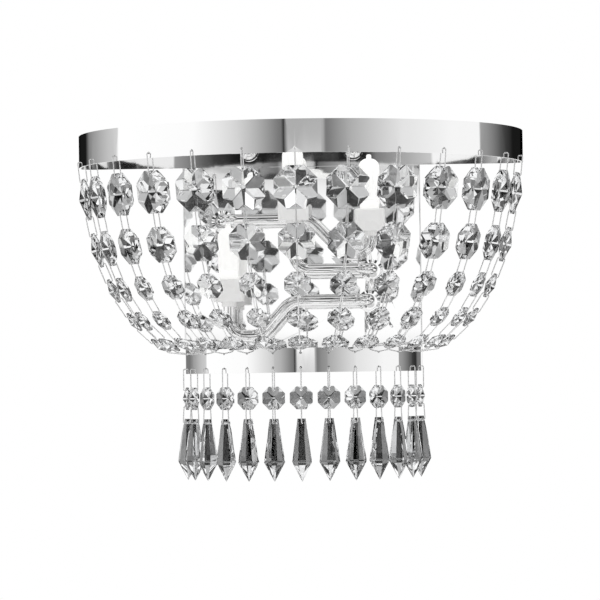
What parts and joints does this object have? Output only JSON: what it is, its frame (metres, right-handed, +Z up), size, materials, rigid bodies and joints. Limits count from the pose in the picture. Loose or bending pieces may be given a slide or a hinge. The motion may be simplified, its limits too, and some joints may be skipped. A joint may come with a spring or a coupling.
{
  "type": "crystal wall sconce",
  "caption": "Half-basket crystal wall light: chrome bands hung with faceted crystal strands and icicle drops over capsule lamps on bent tubes, on a square wall plate.",
  "frame": {"origin": "middle of the wall bracket's two screw slots, on its back face, which lies on the wall", "axes": "+X to the right when facing the wall, +Y into the wall, +Z up; the light stands out towards -Y"},
  "size_m": [0.2794, 0.1599, 0.2166],
  "materials": {
    "chrome": "polished",
    "crystal": "clear cut crystal",
    "lamp_glass": "clear, slightly warm",
    "ceramic": "glazed ceramic, satin",
    "zinc_steel": "zinc plated",
    "brass": "plain",
    "terminal_plastic": "matt white",
    "wire_sleeve": "silicone sleeve"
  },
  "bodies": {
    "frame": {"wall_bracket": "zinc_steel", "wall_plate": "chrome", "top_band": "chrome", "lower_band": "chrome", "cap_nuts": "chrome", "lower_band_screws": "chrome", "terminal_block": "terminal_plastic", "terminal_screws": "zinc_steel", "earth_screw": "brass", "tube_collars": "chrome", "tube_locknuts": "brass", "wiring_loom": "wire_sleeve", "lamp_arm_left": "chrome", "lamp_arm_centre": "chrome", "lamp_arm_right": "chrome", "lampholder_left": "ceramic", "lampholder_centre": "ceramic", "lampholder_right": "ceramic"},
    "strand_01": {"strand_01": "crystal"},
    "strand_02": {"strand_02": "crystal"},
    "strand_03": {"strand_03": "crystal"},
    "strand_04": {"strand_04": "crystal"},
    "strand_05": {"strand_05": "crystal"},
    "strand_06": {"strand_06": "crystal"},
    "strand_07": {"strand_07": "crystal"},
    "strand_08": {"strand_08": "crystal"},
    "strand_09": {"strand_09": "crystal"},
    "strand_10": {"strand_10": "crystal"},
    "strand_11": {"strand_11": "crystal"},
    "strand_12": {"strand_12": "crystal"},
    "strand_13": {"strand_13": "crystal"},
    "pendant_bead_01": {"pendant_bead_01": "crystal"},
    "pendant_drop_01": {"pendant_drop_01": "crystal"},
    "pendant_bead_02": {"pendant_bead_02": "crystal"},
    "pendant_drop_02": {"pendant_drop_02": "crystal"},
    "pendant_bead_03": {"pendant_bead_03": "crystal"},
    "pendant_drop_03": {"pendant_drop_03": "crystal"},
    "pendant_bead_04": {"pendant_bead_04": "crystal"},
    "pendant_drop_04": {"pendant_drop_04": "crystal"},
    "pendant_bead_05": {"pendant_bead_05": "crystal"},
    "pendant_drop_05": {"pendant_drop_05": "crystal"},
    "pendant_bead_06": {"pendant_bead_06": "crystal"},
    "pendant_drop_06": {"pendant_drop_06": "crystal"},
    "pendant_bead_07": {"pendant_bead_07": "crystal"},
    "pendant_drop_07": {"pendant_drop_07": "crystal"},
    "pendant_bead_08": {"pendant_bead_08": "crystal"},
    "pendant_drop_08": {"pendant_drop_08": "crystal"},
    "pendant_bead_09": {"pendant_bead_09": "crystal"},
    "pendant_drop_09": {"pendant_drop_09": "crystal"},
    "pendant_bead_10": {"pendant_bead_10": "crystal"},
    "pendant_drop_10": {"pendant_drop_10": "crystal"},
    "pendant_bead_11": {"pendant_bead_11": "crystal"},
    "pendant_drop_11": {"pendant_drop_11": "crystal"},
    "pendant_bead_12": {"pendant_bead_12": "crystal"},
    "pendant_drop_12": {"pendant_drop_12": "crystal"},
    "pendant_bead_13": {"pendant_bead_13": "crystal"},
    "pendant_drop_13": {"pendant_drop_13": "crystal"},
    "lamp_left": {"lamp_left": "lamp_glass"},
    "lamp_centre": {"lamp_centre": "lamp_glass"},
    "lamp_right": {"lamp_right": "lamp_glass"}
  },
  "joints": [
    {"name": "strand_01_swing", "type": "hinge", "parent": "frame", "child": "strand_01", "pos_m": [-0.13665, -0.04555, -0.007], "axis": [-0.4639, -0.0935, 0.8809], "range_deg": [-10, 10]},
    {"name": "strand_02_swing", "type": "hinge", "parent": "frame", "child": "strand_02", "pos_m": [-0.12685, -0.07581, -0.007], "axis": [-0.4306, -0.1962, 0.8809], "range_deg": [-10, 10]},
    {"name": "strand_03_swing", "type": "hinge", "parent": "frame", "child": "strand_03", "pos_m": [-0.11045, -0.10305, -0.007], "axis": [-0.3749, -0.2887, 0.8809], "range_deg": [-10, 10]},
    {"name": "strand_04_swing", "type": "hinge", "parent": "frame", "child": "strand_04", "pos_m": [-0.08829, -0.12587, -0.007], "axis": [-0.2997, -0.3662, 0.8809], "range_deg": [-10, 10]},
    {"name": "strand_05_swing", "type": "hinge", "parent": "frame", "child": "strand_05", "pos_m": [-0.06155, -0.14308, -0.007], "axis": [-0.2089, -0.4246, 0.8809], "range_deg": [-10, 10]},
    {"name": "strand_06_swing", "type": "hinge", "parent": "frame", "child": "strand_06", "pos_m": [-0.0316, -0.15377, -0.007], "axis": [-0.1073, -0.4609, 0.8809], "range_deg": [-10, 10]},
    {"name": "strand_07_swing", "type": "hinge", "parent": "frame", "child": "strand_07", "pos_m": [0, -0.1574, -0.007], "axis": [0, -0.4732, 0.8809], "range_deg": [-10, 10]},
    {"name": "strand_08_swing", "type": "hinge", "parent": "frame", "child": "strand_08", "pos_m": [0.0316, -0.15377, -0.007], "axis": [0.1073, -0.4609, 0.8809], "range_deg": [-10, 10]},
    {"name": "strand_09_swing", "type": "hinge", "parent": "frame", "child": "strand_09", "pos_m": [0.06155, -0.14308, -0.007], "axis": [0.2089, -0.4246, 0.8809], "range_deg": [-10, 10]},
    {"name": "strand_10_swing", "type": "hinge", "parent": "frame", "child": "strand_10", "pos_m": [0.08829, -0.12587, -0.007], "axis": [0.2997, -0.3662, 0.8809], "range_deg": [-10, 10]},
    {"name": "strand_11_swing", "type": "hinge", "parent": "frame", "child": "strand_11", "pos_m": [0.11045, -0.10305, -0.007], "axis": [0.3749, -0.2887, 0.8809], "range_deg": [-10, 10]},
    {"name": "strand_12_swing", "type": "hinge", "parent": "frame", "child": "strand_12", "pos_m": [0.12685, -0.07581, -0.007], "axis": [0.4306, -0.1962, 0.8809], "range_deg": [-10, 10]},
    {"name": "strand_13_swing", "type": "hinge", "parent": "frame", "child": "strand_13", "pos_m": [0.13665, -0.04555, -0.007], "axis": [0.4639, -0.0935, 0.8809], "range_deg": [-10, 10]},
    {"name": "pendant_bead_01_swing", "type": "hinge", "parent": "frame", "child": "pendant_bead_01", "pos_m": [-0.07293, -0.03271, -0.137], "axis": [0.1977, -0.9803, 0], "range_deg": [-12, 12]},
    {"name": "pendant_drop_01_swing", "type": "hinge", "parent": "pendant_bead_01", "child": "pendant_drop_01", "pos_m": [-0.07293, -0.03271, -0.1604], "axis": [0.1977, -0.9803, 0], "range_deg": [-10, 10]},
    {"name": "pendant_bead_02_swing", "type": "hinge", "parent": "frame", "child": "pendant_bead_02", "pos_m": [-0.0677, -0.04885, -0.137], "axis": [0.4147, -0.91, 0], "range_deg": [-12, 12]},
    {"name": "pendant_drop_02_swing", "type": "hinge", "parent": "pendant_bead_02", "child": "pendant_drop_02", "pos_m": [-0.0677, -0.04885, -0.1604], "axis": [0.4147, -0.91, 0], "range_deg": [-10, 10]},
    {"name": "pendant_bead_03_swing", "type": "hinge", "parent": "frame", "child": "pendant_bead_03", "pos_m": [-0.05895, -0.06339, -0.137], "axis": [0.6101, -0.7923, 0], "range_deg": [-12, 12]},
    {"name": "pendant_drop_03_swing", "type": "hinge", "parent": "pendant_bead_03", "child": "pendant_drop_03", "pos_m": [-0.05895, -0.06339, -0.1604], "axis": [0.6101, -0.7923, 0], "range_deg": [-10, 10]},
    {"name": "pendant_bead_04_swing", "type": "hinge", "parent": "frame", "child": "pendant_bead_04", "pos_m": [-0.04712, -0.07557, -0.137], "axis": [0.7738, -0.6334, 0], "range_deg": [-12, 12]},
    {"name": "pendant_drop_04_swing", "type": "hinge", "parent": "pendant_bead_04", "child": "pendant_drop_04", "pos_m": [-0.04712, -0.07557, -0.1604], "axis": [0.7738, -0.6334, 0], "range_deg": [-10, 10]},
    {"name": "pendant_bead_05_swing", "type": "hinge", "parent": "frame", "child": "pendant_bead_05", "pos_m": [-0.03285, -0.08476, -0.137], "axis": [0.8973, -0.4415, 0], "range_deg": [-12, 12]},
    {"name": "pendant_drop_05_swing", "type": "hinge", "parent": "pendant_bead_05", "child": "pendant_drop_05", "pos_m": [-0.03285, -0.08476, -0.1604], "axis": [0.8973, -0.4415, 0], "range_deg": [-10, 10]},
    {"name": "pendant_bead_06_swing", "type": "hinge", "parent": "frame", "child": "pendant_bead_06", "pos_m": [-0.01686, -0.09046, -0.137], "axis": [0.974, -0.2267, 0], "range_deg": [-12, 12]},
    {"name": "pendant_drop_06_swing", "type": "hinge", "parent": "pendant_bead_06", "child": "pendant_drop_06", "pos_m": [-0.01686, -0.09046, -0.1604], "axis": [0.974, -0.2267, 0], "range_deg": [-10, 10]},
    {"name": "pendant_bead_07_swing", "type": "hinge", "parent": "frame", "child": "pendant_bead_07", "pos_m": [0, -0.0924, -0.137], "axis": [1, 0, 0], "range_deg": [-12, 12]},
    {"name": "pendant_drop_07_swing", "type": "hinge", "parent": "pendant_bead_07", "child": "pendant_drop_07", "pos_m": [0, -0.0924, -0.1604], "axis": [1, 0, 0], "range_deg": [-10, 10]},
    {"name": "pendant_bead_08_swing", "type": "hinge", "parent": "frame", "child": "pendant_bead_08", "pos_m": [0.01686, -0.09046, -0.137], "axis": [0.974, 0.2267, 0], "range_deg": [-12, 12]},
    {"name": "pendant_drop_08_swing", "type": "hinge", "parent": "pendant_bead_08", "child": "pendant_drop_08", "pos_m": [0.01686, -0.09046, -0.1604], "axis": [0.974, 0.2267, 0], "range_deg": [-10, 10]},
    {"name": "pendant_bead_09_swing", "type": "hinge", "parent": "frame", "child": "pendant_bead_09", "pos_m": [0.03285, -0.08476, -0.137], "axis": [0.8973, 0.4415, 0], "range_deg": [-12, 12]},
    {"name": "pendant_drop_09_swing", "type": "hinge", "parent": "pendant_bead_09", "child": "pendant_drop_09", "pos_m": [0.03285, -0.08476, -0.1604], "axis": [0.8973, 0.4415, 0], "range_deg": [-10, 10]},
    {"name": "pendant_bead_10_swing", "type": "hinge", "parent": "frame", "child": "pendant_bead_10", "pos_m": [0.04712, -0.07557, -0.137], "axis": [0.7738, 0.6334, 0], "range_deg": [-12, 12]},
    {"name": "pendant_drop_10_swing", "type": "hinge", "parent": "pendant_bead_10", "child": "pendant_drop_10", "pos_m": [0.04712, -0.07557, -0.1604], "axis": [0.7738, 0.6334, 0], "range_deg": [-10, 10]},
    {"name": "pendant_bead_11_swing", "type": "hinge", "parent": "frame", "child": "pendant_bead_11", "pos_m": [0.05895, -0.06339, -0.137], "axis": [0.6101, 0.7923, 0], "range_deg": [-12, 12]},
    {"name": "pendant_drop_11_swing", "type": "hinge", "parent": "pendant_bead_11", "child": "pendant_drop_11", "pos_m": [0.05895, -0.06339, -0.1604], "axis": [0.6101, 0.7923, 0], "range_deg": [-10, 10]},
    {"name": "pendant_bead_12_swing", "type": "hinge", "parent": "frame", "child": "pendant_bead_12", "pos_m": [0.0677, -0.04885, -0.137], "axis": [0.4147, 0.91, 0], "range_deg": [-12, 12]},
    {"name": "pendant_drop_12_swing", "type": "hinge", "parent": "pendant_bead_12", "child": "pendant_drop_12", "pos_m": [0.0677, -0.04885, -0.1604], "axis": [0.4147, 0.91, 0], "range_deg": [-10, 10]},
    {"name": "pendant_bead_13_swing", "type": "hinge", "parent": "frame", "child": "pendant_bead_13", "pos_m": [0.07293, -0.03271, -0.137], "axis": [0.1977, 0.9803, 0], "range_deg": [-12, 12]},
    {"name": "pendant_drop_13_swing", "type": "hinge", "parent": "pendant_bead_13", "child": "pendant_drop_13", "pos_m": [0.07293, -0.03271, -0.1604], "axis": [0.1977, 0.9803, 0], "range_deg": [-10, 10]},
    {"name": "lamp_left_pull_out", "type": "slide", "parent": "frame", "child": "lamp_left", "axis": [0, 0, 1], "range_m": [0, 0.022]},
    {"name": "lamp_centre_pull_out", "type": "slide", "parent": "frame", "child": "lamp_centre", "axis": [0, 0, 1], "range_m": [0, 0.022]},
    {"name": "lamp_right_pull_out", "type": "slide", "parent": "frame", "child": "lamp_right", "axis": [0, 0, 1], "range_m": [0, 0.022]}
  ]
}
